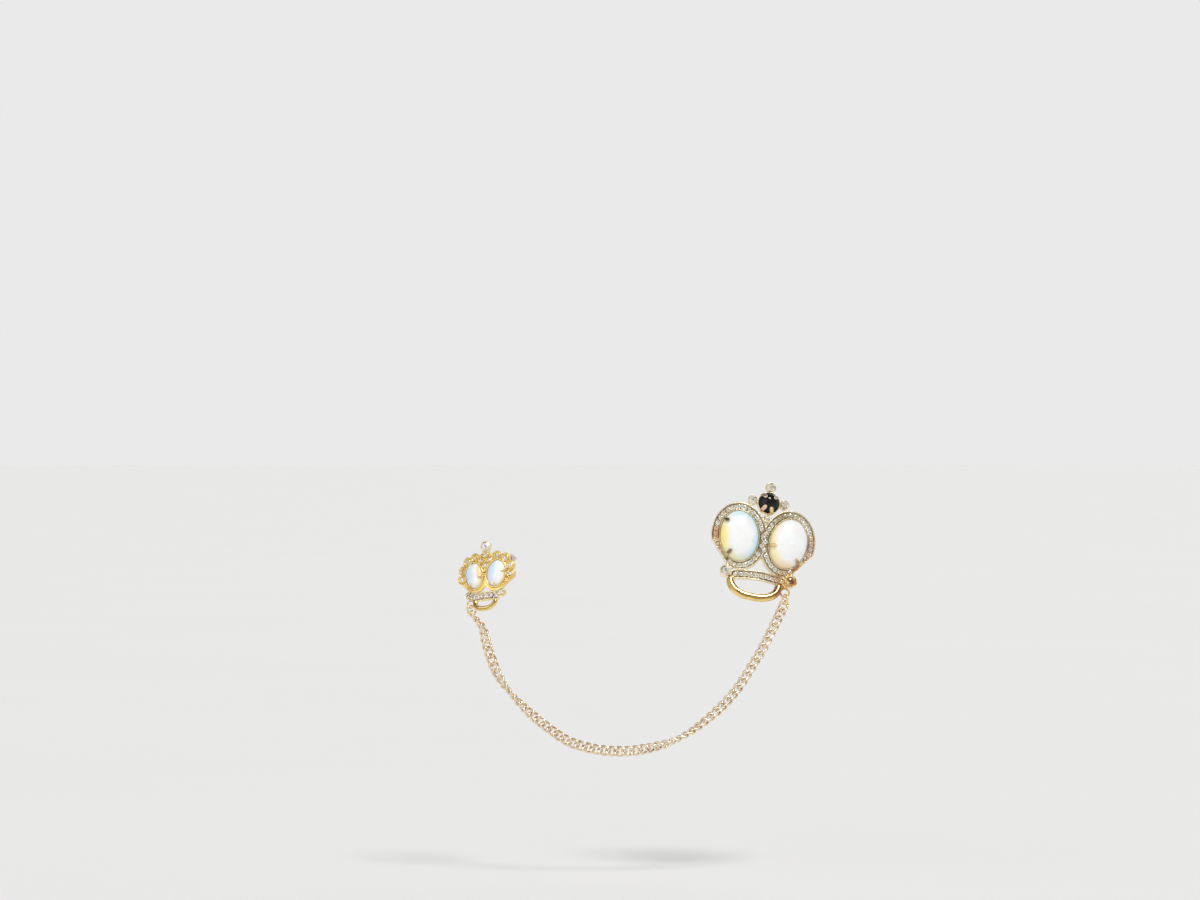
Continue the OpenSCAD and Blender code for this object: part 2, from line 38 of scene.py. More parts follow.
import bmesh
import bpy
import numpy as np
from bpy.props import FloatProperty, FloatVectorProperty, PointerProperty
from mathutils import Euler, Matrix, Vector

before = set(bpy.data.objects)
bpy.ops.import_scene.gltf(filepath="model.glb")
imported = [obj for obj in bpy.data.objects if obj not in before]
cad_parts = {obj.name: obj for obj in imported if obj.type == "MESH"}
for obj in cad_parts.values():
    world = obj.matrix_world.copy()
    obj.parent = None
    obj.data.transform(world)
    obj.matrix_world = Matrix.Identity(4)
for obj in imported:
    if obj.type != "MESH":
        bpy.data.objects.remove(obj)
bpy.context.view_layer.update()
BODY = "root"

MM = 0.001
UP = Vector((0, 0, 1))


# Places of the two crowns


def crown_matrix(turn, pin, pin_place):
    """Matrix from a crown's own millimetres to the worn pose in metres, by its turn and its pin's middle."""
    turned = Euler([math.radians(a) for a in turn], "XYZ").to_matrix() @ Matrix.Rotation(math.pi / 2, 3, "X")
    place = Vector(pin_place) - turned @ Vector(pin)
    return Matrix.Scale(MM, 4) @ Matrix.Translation(place) @ turned.to_4x4()


LARGE = crown_matrix(turn=(-15, 10, 6), pin=(0, 4, -4.6), pin_place=(0, 0, 0))
SMALL = crown_matrix(turn=(-17, -7.3, -25), pin=(1, 7.2, -3.9), pin_place=(-107.4, 0, -10.2))


# Sizes of the crowns, in their own millimetres

# Stones that stand side by side on one ground, and stones in cups of their own
LARGE_FIELDS = ("large_ring_stones_left", "large_ring_stones_right", "large_middle_stones",
                "large_band_stones")
SMALL_FIELDS = ("small_arch_stones", "small_centre_stones", "small_band_stones")
LARGE_SINGLES = ("large_top_stone", "large_side_stone_left", "large_side_stone_right", "large_valley_stone",
                 "large_base_stone_left", "large_base_stone_right")
SMALL_SINGLES = ("small_finial_stone", "small_base_stone_left", "small_base_stone_right")

# Round lower rims: middle, half width, drop, top, and the height of the face at the ends and in the middle
LARGE_RIM = {"x": -1.3, "half": 9.8, "drop": 6.5, "top": -16.9, "z_end": 0.2, "z_mid": 2.3}
SMALL_RIM = {"x": 0, "half": 4.45, "drop": 3.2, "top": -10.6, "z_end": 0.4, "z_mid": 1.5}
LARGE_RIM_WIRE, SMALL_RIM_WIRE = 3.3, 2.1

# Right half of the small crown: the scallops, the plate behind them, the height of its face, and the
# degrees by which it falls away to its side
SCALLOPS = ((4.85, 7.7), (8.3, 6.5), (10.25, 3.2), (10.6, -0.3))
SCALLOP_RADIUS = 2.15
SMALL_PLATE = ((-0.2, -4.4), (3, -6.9), (7.6, -5.6), (11.3, -2.2), (11.4, 3.3), (9.3, 7.2), (4.8, 8.6),
               (-0.2, 9.6))
SMALL_FLOOR = 1.3
SMALL_FALL = 6

# Rails along the scallops; then the straight flank below them with its rungs
RAIL_WIRE, RAIL_INSET, RAIL_RISE = 0.56, 0.26, 0.05
FLANK_TOP, FLANK_LOW = Vector((11.05, -2.2)), Vector((7.35, -5.6))
RIB_WIRE, RIB_COUNT, RIB_REACH, RIB_SINK = 0.42, 7, 1.75, 0.02

# Triangles that each casting keeps, and how much finer the small one is
LARGE_TRIANGLES, SMALL_TRIANGLES = 190000, 140000
SMALL_FINER = 0.8

# Claws and grains, as shares of the grain radius in the settings
LARGE_CLAW, SMALL_SPACING, SMALL_GRAIN = 1.25, 0.8, 0.9

# Upright girdles and tapered feet of the domed stones
OPAL_GIRDLES = {"large": 1.3, "small": 0.8}
OPAL_FOOT = 0.2
BLACK_GIRDLE, BLACK_FOOT = 0.5, 0.15


# Reading the solids of the frame


def loose_solids(node):
    """The corner points of each loose solid of a node, one array for each."""
    bm = bmesh.new()
    bm.from_mesh(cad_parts[node].data)
    bmesh.ops.remove_doubles(bm, verts=bm.verts, dist=1e-6)
    found, seen = [], set()
    for start in bm.verts:
        if start in seen:
            continue
        seen.add(start)
        group, edge = [], [start]
        while edge:
            vert = edge.pop()
            group.append(vert.co[:])
            for other in (e.other_vert(vert) for e in vert.link_edges):
                if other not in seen:
                    seen.add(other)
                    edge.append(other)
        found.append(np.array(group))
    bm.free()
    return found


def main_axes(points):
    """Middle of the points' own box, their axes from long to short as rows, and the box's size."""
    mean = points.mean(0)
    axes = np.linalg.svd(points - mean, full_matrices=False)[2]
    along = (points - mean) @ axes.T
    low, high = along.min(0), along.max(0)
    return mean + (low + high) / 2 @ axes, axes, high - low


def basis(x, y, z, place):
    """4 by 4 matrix with these columns."""
    matrix = Matrix.Identity(4)
    for i, column in enumerate((x, y, z, place)):
        matrix.col[i][:3] = Vector(column)[:]
    return matrix


def seat_of_stone(points):
    """Matrix that carries a round stone of radius 1, table up and girdle at 0, into its seat."""
    mean = points.mean(0)
    away = points - mean
    axis = np.linalg.svd(away, full_matrices=False)[2][2]
    height = away @ axis
    outward = away - height[:, None] * axis
    reach = np.linalg.norm(outward, axis=1)
    radius = reach.max()
    middle = (height.max() + height.min()) / 2
    if reach[height > middle].min() < reach[height < middle].min():
        axis, height = -axis, -height
    on_girdle = reach > 0.99 * radius
    x = outward[reach.argmax()] / radius
    y = np.cross(axis, x)
    return basis(x * radius, y * radius, axis * radius, mean + height[on_girdle].mean() * axis)


def seats(*nodes, crown=Matrix.Identity(4)):
    """The seats of every stone of these nodes, in metres or in a crown's own millimetres."""
    inverse = crown.inverted()
    return [inverse @ seat_of_stone(points) for node in nodes for points in loose_solids(node)]


# Mesh making


@contextmanager
def edit_mode():
    """Holds the active piece in edit mode for as long as the block lasts."""
    bpy.ops.object.mode_set(mode="EDIT")
    yield
    bpy.ops.object.mode_set(mode="OBJECT")


def pick_only(*objects):
    """Selects these objects alone and makes the first one active."""
    bpy.ops.object.select_all(action="DESELECT")
    for one in objects:
        one.select_set(True)
    bpy.context.view_layer.objects.active = objects[0]


def named(piece, name):
    piece.name = piece.data.name = name
    return piece


def apply_modifier(piece, kind, **values):
    pick_only(piece)
    modifier = piece.modifiers.new(kind.title(), kind)
    for key, value in values.items():
        setattr(modifier, key, value)
    bpy.ops.object.modifier_apply(modifier=modifier.name)


def joined(name, pieces):
    pick_only(*pieces)
    if len(pieces) > 1:
        bpy.ops.object.join()
    return named(bpy.context.object, name)


def copies_at(name, master, matrices):
    """One mesh with its own copy of the master at each matrix. The master is used up."""
    pieces = []
    for matrix in matrices:
        copy = master.copy()
        copy.data = master.data.copy()
        copy.data.transform(matrix)
        bpy.context.collection.objects.link(copy)
        pieces.append(copy)
    bpy.data.objects.remove(master)
    return joined(name, pieces)


def copy_of_node(node, matrix):
    """A merged copy of a node's mesh, brought into a crown's own millimetres."""
    copy = bpy.data.objects.new(node + "_copy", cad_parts[node].data.copy())
    copy.data.transform(matrix.inverted())
    bpy.context.collection.objects.link(copy)
    pick_only(copy)
    with edit_mode():
        bpy.ops.mesh.select_all(action="SELECT")
        bpy.ops.mesh.remove_doubles(threshold=0.001)
    return copy


def smooth_outside(degrees):
    """Turns the active piece's faces outwards and smooths them across all but its sharper edges."""
    with edit_mode():
        bpy.ops.mesh.select_all(action="SELECT")
        bpy.ops.mesh.normals_make_consistent(inside=False)
    bpy.ops.object.shade_smooth_by_angle(angle=math.radians(degrees))


def finish_piece(piece, nodes, material):
    """Puts a finished piece on the body, in place of its nodes and with its finish."""
    piece.data.materials.clear()
    piece.data.materials.append(material)
    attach(piece, BODY)
    if nodes:
        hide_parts(*nodes)


def round_bar(points, diameter):
    """Round bar along a line of points, with closed ends."""
    curve = bpy.data.curves.new("bar", "CURVE")
    curve.dimensions = "3D"
    curve.bevel_depth = diameter / 2
    curve.bevel_resolution = 8
    curve.use_fill_caps = True
    spline = curve.splines.new("POLY")
    spline.points.add(len(points) - 1)
    for point, place in zip(spline.points, points):
        point.co = (*place, 1)
    bar = bpy.data.objects.new("bar", curve)
    bpy.context.collection.objects.link(bar)
    pick_only(bar)
    bpy.ops.object.convert(target="MESH")
    return bpy.context.object


def vertex_rows(piece, key):
    """The places ("co") or normals ("normal") of a mesh's points, one row for each."""
    rows = np.empty(len(piece.data.vertices) * 3)
    piece.data.vertices.foreach_get(key, rows)
    return rows.reshape(-1, 3)


def write_values(piece, name, values, domain="POINT"):
    attribute = piece.data.attributes.new(name, "FLOAT", domain)
    attribute.data.foreach_set("value", np.asarray(values, np.float32))


def share(values, none, full):
    """0 where the values are at none or past it, 1 at full, and evenly between."""
    return np.clip((values - none) / (full - none), 0, 1)


def mark_hollows(piece, passes, depth):
    """Writes how hollow (1) or proud (0) each point is, from the shape smoothed over its neighbours."""
    places, normals = vertex_rows(piece, "co"), vertex_rows(piece, "normal")
    count = len(places)
    edges = np.empty(len(piece.data.edges) * 2, int)
    piece.data.edges.foreach_get("vertices", edges)
    a, b = edges.reshape(-1, 2).T
    ends = np.bincount(a, minlength=count) + np.bincount(b, minlength=count)
    soft = places.copy()
    for _ in range(passes):
        total = np.stack(
            [np.bincount(a, soft[b, k], count) + np.bincount(b, soft[a, k], count) for k in range(3)], 1
        )
        soft = (soft + total / ends[:, None]) / 2
    lift = ((soft - places) * normals).sum(1)
    write_values(piece, "hollow", np.clip(0.5 + lift / depth / 2, 0, 1))


# Colours of wear and tarnish, and of the painted reflections along the rims

COPPER = (0.42, 0.17, 0.08)
RUST = (0.62, 0.27, 0.09)
OLIVE = (0.4, 0.3, 0.09)
DARK_OLIVE = (0.13, 0.095, 0.035)
ROSE = (0.62, 0.4, 0.28)
AMBER = (0.6, 0.34, 0.08)
YELLOW = (0.94, 0.68, 0.24)
BROWN = (0.17, 0.09, 0.04)
PINK = (0.8, 0.53, 0.4)
CREAM = (0.95, 0.9, 0.8)

LARGE_STAINS = (
    # x, y, height, radius, colour, strength
    (-18.6, 0.8, 1.5, 4.2, RUST, 0.9),
    (-16.9, -2.6, 2, 3.2, YELLOW, 0.85),
    (-16.5, 10.6, 2, 3, AMBER, 0.35),
    (7.2, 10.2, 2, 4.8, OLIVE, 0.8),
    (19.2, 0, 1.4, 7, ROSE, 0.75),
    (11.4, -14.5, 1.8, 6.4, AMBER, 0.85),
    (7, -14.6, 1.8, 3.4, ROSE, 0.5),
    (10.6, -14.3, 2.2, 3.2, YELLOW, 0.6),
    (19.8, 5.5, 2.2, 3.2, RUST, 0.7),
    (18.9, 1.4, 1.6, 2.6, BROWN, 0.6),
    (14.2, -8.4, 2.4, 4.4, RUST, 0.7),
    (-15.4, -5, 2, 3.6, ROSE, 0.75),
    (-18.8, 7.4, 1.6, 2.8, DARK_OLIVE, 0.6),
    (-10.4, -19.6, 1.6, 2.8, OLIVE, 0.7),
    (7.6, -19.8, 1, 3.8, COPPER, 0.8),
    (13.5, -14.3, 1.6, 4.4, YELLOW, 0.95),
    (12.2, -18.9, 0, 1.6, YELLOW, 0.7),
    (10.2, -18.9, 0, 1.5, RUST, 0.7),
    (-16.2, 6.9, 4.2, 2.8, DARK_OLIVE, 0.95),
    (-13.4, -6.4, 4.2, 2.8, BROWN, 0.8),
    (3.2, -1.2, 4.4, 2, AMBER, 0.6),
    (15.6, -6.4, 3.6, 2, BROWN, 0.6),
    (-2.6, 18.7, 3.4, 2, PINK, 0.85),
    (-2.2, 13, 3.4, 2.1, PINK, 0.8),
    (1.3, 12.6, 3.4, 1.8, YELLOW, 0.8),
    (2.7, 18.6, 3.4, 1.8, CREAM, 0.8),
    (-1.6, 22.4, 2.2, 1.3, ROSE, 0.7),
)

# The first patches lie on the stones too, and are fainter there
STONE_STAINS = tuple((*stain[:5], stain[5] * 0.65) for stain in LARGE_STAINS[:8])

AMBER_STAINS = ((13.5, -14.1, 2.6, 2.3, (0.2, 0.03, 0.01), 0.9),)

# Stones of the small crown that are gold or amber among the grey ones
TINTS = (
    (-4.9, 7.7, 1.6, 3, (0.8, 0.5, 0.14), 0.75),
    (-10.3, 3.2, 1.2, 2.6, (0.62, 0.38, 0.16), 0.6),
)

SMALL_STAINS = (
    (0, 12.1, 1.6, 3.6, CREAM, 0.6),
    *((x, -8.5, z, 2.5, CREAM, 0.55) for x, z in ((-4.6, 1.2), (-1.6, 1.4), (1.6, 1.4), (4.6, 1.2))),
    (-6.7, -11.1, 0.2, 2.3, ROSE, 0.8),
    (8.2, -2.6, 1, 2.4, AMBER, 0.45),
    (-7.4, -5.4, 1, 2.2, AMBER, 0.5),
    (0, 1.2, 1.6, 1.6, AMBER, 0.5),
)

# A patch has its full strength inside this share of its radius, and its edge wanders by the second share
PATCH_CORE, PATCH_RAGGED = 0.55, 0.35

# Painted reflections along the lower rims, from -1 at the outer edge to 1 at the opening: from, to, colour,
# strength
RIM_REFLECTIONS = (
    (-1.2, -0.66, (0.98, 0.78, 0.38), 0.6),
    (-0.48, 0, (0.4, 0.23, 0.05), 0.9),
    (0.18, 0.66, (1, 0.87, 0.56), 0.7),
)
REFLECTION_FADE = 0.16


# Finishes


class Finish:
    """Builds the nodes of one procedural material."""

    def __init__(self, name):
        self.material = bpy.data.materials.new(name)
        self.material.use_nodes = True
        self.tree = self.material.node_tree
        self.tree.nodes.clear()
        self.object_place = self.node("TexCoord").outputs["Object"]

    def node(self, kind, *first, **others):
        """A new node. Its first sockets get the first values; the others are settings or sockets."""
        node = self.tree.nodes.new("ShaderNode" + kind)
        for key, value in others.items():
            if hasattr(node, key):
                setattr(node, key, value)
            else:
                self.feed(node.inputs[key.replace("_", " ")], value)
        for socket, value in zip(node.inputs, first):
            self.feed(socket, value)
        return node

    def feed(self, socket, value):
        """Links another socket or sets a value, a colour with full alpha."""
        if isinstance(value, bpy.types.NodeSocket):
            self.tree.links.new(value, socket)
        else:
            socket.default_value = (*value, 1) if socket.type == "RGBA" else value

    def noise(self, scale, detail):
        """Clouds from 0 to 1, about scale of them in a metre."""
        return self.node("TexNoise", self.object_place, Scale=scale, Detail=detail, Roughness=0.55).outputs[0]

    def attribute(self, name):
        return self.node("Attribute", attribute_name=name).outputs["Fac"]

    def ramp(self, value, low, high, out_low=0, out_high=1):
        """value from low to high, eased, turned into out_low to out_high."""
        node = self.node("MapRange", value, low, high, out_low, out_high, interpolation_type="SMOOTHSTEP")
        return node.outputs["Result"]

    def math(self, operation, *values):
        return self.node("Math", *values, operation=operation).outputs[0]

    def times(self, a, b):
        return self.math("MULTIPLY", a, b)

    def plus(self, a, b):
        return self.math("ADD", a, b)

    def waver(self, scale, amount):
        """Clouds about 0, which make an edge wander by up to half this amount."""
        return self.times(self.math("SUBTRACT", self.noise(scale, 3), 0.5), amount)

    def mix(self, factor, a, b):
        """Colour a where factor is 0 and b where it is 1."""
        node = self.node("Mix", factor, data_type="RGBA")
        self.feed(node.inputs[6], a)
        self.feed(node.inputs[7], b)
        return node.outputs[2]

    def spot(self, place, radius):
        """1 inside a patch round this place, with a ragged edge."""
        away = self.node("VectorMath", self.object_place, place, operation="DISTANCE").outputs["Value"]
        away = self.plus(away, self.times(self.noise(1500, 2), PATCH_RAGGED * 2 * radius))
        return self.ramp(away, radius * (1 + PATCH_RAGGED), radius * (PATCH_CORE + PATCH_RAGGED))

    def shade(self, colour, **inputs):
        """The finished material, with its colour and the other inputs on one shader."""
        shader = self.node("BsdfPrincipled", colour, **inputs)
        self.node("OutputMaterial", shader.outputs[0])
        return self.material


def stained(finish, colour, stains, matrix):
    """Lays patches of tarnish over a colour. Each stain is x, y, height, radius, colour and strength."""
    for x, y, z, radius, stain, strength in stains:
        patch = finish.spot(matrix @ Vector((x, y, z)), radius * MM)
        colour = finish.mix(finish.times(patch, strength), colour, stain)
    return colour


def painted_rim_reflections(finish, colour, polish):
    """Yellow gold on the polished rim, with a brown band of painted dark reflection and pale streaks of
    painted highlight along it.
    """
    colour = finish.mix(finish.times(polish, 0.9), colour, YELLOW)
    side = finish.plus(finish.attribute("side"), finish.waver(240, 0.9))
    for low, high, reflection, strength in RIM_REFLECTIONS:
        rise = finish.ramp(side, low - REFLECTION_FADE, low + REFLECTION_FADE)
        fall = finish.ramp(side, high + REFLECTION_FADE, high - REFLECTION_FADE)
        shown = finish.times(finish.times(finish.times(rise, fall), strength), polish)
        colour = finish.mix(shown, colour, reflection)
    return colour


# Platings: the worn colour, the colour of the patina and painted shade in the hollows and the roughness; for
# a crown, also the painted shade colour of the ground between its stones, its patches and its matrix
PLATINGS = {
    "pale_gold_plate": (
        (0.8, 0.68, 0.46), (0.14, 0.1, 0.05), 0.27, (0.3, 0.26, 0.15), LARGE_STAINS, LARGE),
    "yellow_gold_plate": (
        (0.9, 0.66, 0.25), (0.32, 0.18, 0.04), 0.25, (0.62, 0.42, 0.14), SMALL_STAINS, SMALL),
    "antique_gold_plate": ((0.63, 0.47, 0.33), (0.24, 0.13, 0.08), 0.24),
    "ring_gold_plate": ((0.82, 0.58, 0.26), (0.3, 0.17, 0.06), 0.24),
    "pin_steel": ((0.58, 0.47, 0.4), (0.2, 0.14, 0.1), 0.3),
}


def plated_metal(name, bright):
    """Plated cast metal: cloudy colour, patina and painted shade in the hollows, edges worn bright with a
    painted highlight, fine scratches.
    """
    worn, hollow, roughness, *crown = PLATINGS[name]
    finish = Finish(name)
    scratch_depth = 0.16
    cloud = finish.ramp(finish.noise(420, 4), 0.38, 0.66)
    colour = finish.mix(cloud, bright, worn)
    rough = finish.ramp(finish.noise(1600, 5), 0.3, 0.7, roughness * 0.75, roughness * 1.35)
    depth = finish.attribute("hollow")
    # The hollows darken with patina and painted shade
    patina_and_shade = finish.ramp(depth, 0.53, 0.86)
    # Proud edges: rubbed bare, and lightened further by a painted highlight
    edge = finish.ramp(depth, 0.42, 0.2)
    if crown:
        bed_shade, stains, matrix = crown
        # Painted shade on the ground between the stones, patchy
        patchy = finish.ramp(finish.noise(900, 3), 0.3, 0.6, 0.55, 0.95)
        colour = finish.mix(finish.times(finish.attribute("bed_shade"), patchy), colour, bed_shade)
        polish = finish.attribute("polish")
        # Painted reflections and highlights along the polished rim
        colour = painted_rim_reflections(finish, colour, polish)
        rough = finish.times(rough, finish.ramp(polish, 0, 1, 1, 0.45))
        scratch_depth = finish.ramp(polish, 0, 1, scratch_depth, 0.04)
        colour = stained(finish, colour, stains, matrix)
    # Patina and painted shade in the hollows
    colour = finish.mix(patina_and_shade, colour, hollow)
    # Proud edges lighter than the plating: wear and painted highlight
    colour = finish.mix(finish.times(edge, 0.55), colour, [min(1, c * 1.12) for c in bright])
    rough = finish.plus(rough, finish.times(patina_and_shade, 0.25))
    scratches = finish.node("Bump", Height=finish.noise(5200, 3), Strength=scratch_depth, Distance=0.00005)
    return finish.shade(colour, Metallic=1, Roughness=rough, Normal=scratches.outputs["Normal"])


def foiled_glass(name, dark, middle, light, stains, matrix):
    """Cut glass over foil: each facet shows its own share of painted dark and light reflection."""
    finish = Finish(name)
    reflection_tone = finish.attribute("facet_reflection")
    colour = finish.mix(finish.ramp(reflection_tone, 0.05, 0.35), dark, middle)
    colour = finish.mix(finish.ramp(reflection_tone, 0.35, 0.75), colour, light)
    tint = finish.ramp(finish.noise(300, 2), 0.42, 0.62)
    warm = [m * s for m, s in zip(middle, (1, 0.86, 0.6))]
    colour = finish.mix(finish.times(tint, 0.45), colour, warm)
    colour = stained(finish, colour, stains, matrix)
    rough = finish.ramp(finish.noise(2600, 3), 0.35, 0.7, 0.05, 0.2)
    return finish.shade(colour, Metallic=0.5, Roughness=rough, IOR=1.58, Coat_Weight=0.8, Coat_Roughness=0.03)


# A glow fills an oval or what lies outside it: where it starts and where it is full, as shares of the oval
INSIDE, OUTSIDE = (1.25, 0.3), (0.82, 1.22)

# Glows inside the opals, on a face that runs from -1 to 1: middle, half width and half height of the oval,
# colour, strength and side
OPAL_GLOWS = {
    "large_opal_left": (
        (-0.08, 0.02, 0.86, 0.88, (0.54, 0.81, 0.98), 0.75, OUTSIDE),
        (0.26, 0.15, 1, 1.04, (0.98, 0.91, 0.58), 0.95, OUTSIDE),
        (-0.95, -0.02, 0.46, 0.72, (0.98, 0.88, 0.3), 0.92, INSIDE),
        (0.05, 0.84, 0.5, 0.13, (0.62, 0.85, 0.97), 0.6, INSIDE),
    ),
    "large_opal_right": (
        (0.24, 0.24, 1.02, 1.02, (0.98, 0.85, 0.52), 0.95, OUTSIDE),
        (-0.1, -1, 0.75, 0.26, (0.97, 0.76, 0.58), 0.75, INSIDE),
        (-0.95, -0.35, 0.25, 0.5, (0.94, 0.74, 0.42), 0.6, INSIDE),
    ),
    "small_opal_left": (
        (-0.38, 0.05, 0.62, 0.9, (0.68, 0.82, 0.98), 0.8, INSIDE),
        (-0.12, 0.42, 0.3, 0.32, (0.6, 0.93, 0.84), 0.65, INSIDE),
        (0.12, 0.02, 0.2, 0.4, (0.84, 0.76, 0.96), 0.5, INSIDE),
        (-0.42, 0.02, 1.05, 1.2, (0.98, 0.88, 0.6), 0.9, OUTSIDE),
        (0.85, 0.1, 0.42, 0.9, (0.97, 0.7, 0.36), 0.8, INSIDE),
    ),
    "small_opal_right": (
        (-0.5, 0.12, 0.55, 0.9, (0.62, 0.74, 0.98), 0.85, INSIDE),
        (-0.12, 0.22, 0.2, 0.45, (0.56, 0.88, 0.9), 0.65, INSIDE),
        (-0.25, -0.6, 0.35, 0.3, (0.76, 0.72, 0.98), 0.6, INSIDE),
        (-0.32, 0, 1.05, 1.15, (0.99, 0.95, 0.76), 0.9, OUTSIDE),
    ),
}


def opal_glass(node, milk):
    """Milky glass with soft coloured glows, laid out on the stone's face."""
    finish = Finish(node + "_milk")
    split = finish.node("SeparateXYZ", finish.node("UVMap", uv_map="face").outputs["UV"])
    veil = finish.waver(260, 0.35)
    colour = finish.mix(finish.ramp(finish.noise(180, 2), 0.35, 0.7), milk, [c * 0.96 for c in milk])
    for x, y, w, h, glow, strength, side in OPAL_GLOWS[node]:
        squares = []
        for axis, middle, half in (("X", x, w), ("Y", y, h)):
            away = finish.math("SUBTRACT", split.outputs[axis], 0.5 + middle / 2)
            away = finish.math("DIVIDE", away, half / 2)
            squares.append(finish.times(away, away))
        away = finish.math("SQRT", finish.plus(*squares))
        patch = finish.ramp(finish.plus(away, veil), *side)
        colour = finish.mix(finish.times(patch, strength), colour, glow)
    rough = finish.ramp(finish.noise(300, 2), 0.3, 0.7, 0.2, 0.28)
    return finish.shade(colour, Roughness=rough, IOR=1.46, Subsurface_Weight=0.25, Subsurface_Scale=0.002,
                        Coat_Weight=0.2, Coat_Roughness=0.16)


def black_glass():
    """Polished black glass with a little dust."""
    finish = Finish("black_glass")
    dust = finish.ramp(finish.noise(1100, 4), 0.55, 0.8)
    colour = finish.mix(dust, (0.002, 0.002, 0.003), (0.01, 0.01, 0.014))
    rough = finish.ramp(finish.noise(1900, 4), 0.35, 0.75, 0.05, 0.14)
    return finish.shade(colour, Roughness=rough, IOR=1.46, Specular_IOR_Level=0.4)


# Metal of the crowns


def rim_line(x, half, drop, top, z_end, z_mid):
    """Points along the lower rim of a crown's base, a half oval that is a little square."""
    steps, power = 60, 0.9
    line = []
    for i in range(steps + 1):
        t = i * math.pi / steps
        across = half * math.copysign(abs(math.cos(t)) ** power, math.cos(t))
        line.append((x - across, top - drop * math.sin(t) ** power, z_end + (z_mid - z_end) * math.sin(t)))
    return line


def inside(point, corners):
    """Whether a point lies inside a polygon without notches whose corners run counter-clockwise."""
    return all((b[0] - a[0]) * (point.y - a[1]) > (b[1] - a[1]) * (point.x - a[0])
               for a, b in zip(corners, corners[1:] + corners[:1]))


def scallop_rails():
    """Raised bead along the outer edge of the scallops of the right half, one line for each scallop."""
    steps, just_outside = 90, 0.1
    rails = []
    for centre in SCALLOPS:
        line = []
        for i in range(steps + 1):
            angle = math.radians(-90 + 360 * i / steps)
            out = Vector((math.cos(angle), math.sin(angle)))
            edge = Vector(centre) + out * (SCALLOP_RADIUS + just_outside)
            free = all((edge - Vector(c)).length > SCALLOP_RADIUS for c in SCALLOPS if c != centre)
            if free and not inside(edge, SMALL_PLATE):
                place = Vector(centre) + out * (SCALLOP_RADIUS - RAIL_INSET)
                line.append((place.x, place.y, SMALL_FLOOR + RAIL_RISE))
        rails.append(line)
    return rails


def flank_ribs():
    """Rail along the straight flank of the right half, then the rungs between it and the bezel."""
    inward = Vector((FLANK_LOW.y - FLANK_TOP.y, FLANK_TOP.x - FLANK_LOW.x)).normalized()
    lines = [[(*FLANK_TOP.lerp(FLANK_LOW, s), SMALL_FLOOR) for s in (0, 0.5, 1)]]
    for i in range(RIB_COUNT):
        foot = FLANK_TOP.lerp(FLANK_LOW, (i + 0.6) / (RIB_COUNT + 0.2))
        lines.append([(*(foot + inward * RIB_REACH * s), SMALL_FLOOR - RIB_SINK) for s in (0, 0.5, 1)])
    return lines


def on_both_halves(lines):
    """Lines of the small crown's right half and their mirror images, each half falling to its side."""
    turn = Matrix.Rotation(math.radians(SMALL_FALL), 3, "Y")
    right = [[turn @ Vector(p) for p in line] for line in lines]
    return right + [[Vector((-p.x, p.y, p.z)) for p in line] for line in right]


def small_bars():
    """Lower rim, scallop rails and flank ribs of the small crown, each a line and its diameter."""
    bars = [(rim_line(**SMALL_RIM), SMALL_RIM_WIRE)]
    bars += [(line, RAIL_WIRE) for line in on_both_halves(scallop_rails())]
    return bars + [(line, RIB_WIRE) for line in on_both_halves(flank_ribs())]


def mark_bed_shade(piece, stones):
    """Writes 1 on the ground that the stones stand on, which takes painted shade: low, close beside them and
    facing their way.
    """
    places, normals = vertex_rows(piece, "co"), vertex_rows(piece, "normal")
    nearest, bed_shade = np.full(len(places), np.inf), np.zeros(len(places))
    for stone in stones:
        radius, axis = stone.col[0].to_3d().length, np.array(stone.col[2].to_3d().normalized())
        away = places - np.array(stone.translation)
        height = away @ axis
        reach = np.sqrt(np.maximum(0, (away ** 2).sum(1) - height ** 2)) - radius
        ground = share(height, 0.24, 0.04) * share(reach, 1.5, 1.1) * share(normals @ axis, 0.15, 0.45)
        closer = reach < nearest
        bed_shade[closer], nearest[closer] = ground[closer], reach[closer]
    write_values(piece, "bed_shade", bed_shade)


def mark_polish(piece, line, diameter):
    """Writes 1 on the round lower rim, and how far towards the opening (1) or away from it (-1) it lies."""
    places = vertex_rows(piece, "co")
    nearest, side = np.full(len(places), np.inf), np.zeros(len(places))
    for before, here, after in zip(line, line[1:], line[2:]):
        inward = np.array((before[1] - after[1], after[0] - before[0], 0))
        away = places - np.array(here)
        reach = np.sqrt((away ** 2).sum(1))
        closer = reach < nearest
        nearest[closer] = reach[closer]
        side[closer] = (away[closer] @ inward) / np.linalg.norm(inward) / (diameter / 2)
    write_values(piece, "polish", share(nearest, diameter / 2 + 0.35, diameter / 2 + 0.05))
    write_values(piece, "side", np.clip(side, -1, 1))


def cast_crown(size, matrix, bars, voxel, triangles, fields):
    """A crown's metal as one casting: the frame with round bars laid on it, edges softened by casting."""
    copy = copy_of_node(size + "_crown_frame", matrix)
    metal = joined(size + "_crown_metal", [copy, *(round_bar(line, diameter) for line, diameter in bars)])
    apply_modifier(metal, "REMESH", mode="VOXEL", voxel_size=voxel)
    apply_modifier(metal, "SMOOTH", factor=0.5, iterations=3)
    apply_modifier(metal, "DECIMATE", ratio=min(1, triangles / (2 * len(metal.data.polygons))))
    bpy.ops.object.shade_smooth()
    mark_hollows(metal, passes=14, depth=0.22)
    mark_bed_shade(metal, seats(*fields, crown=matrix))
    mark_polish(metal, *bars[0])
    metal.data.transform(matrix)
    return metal


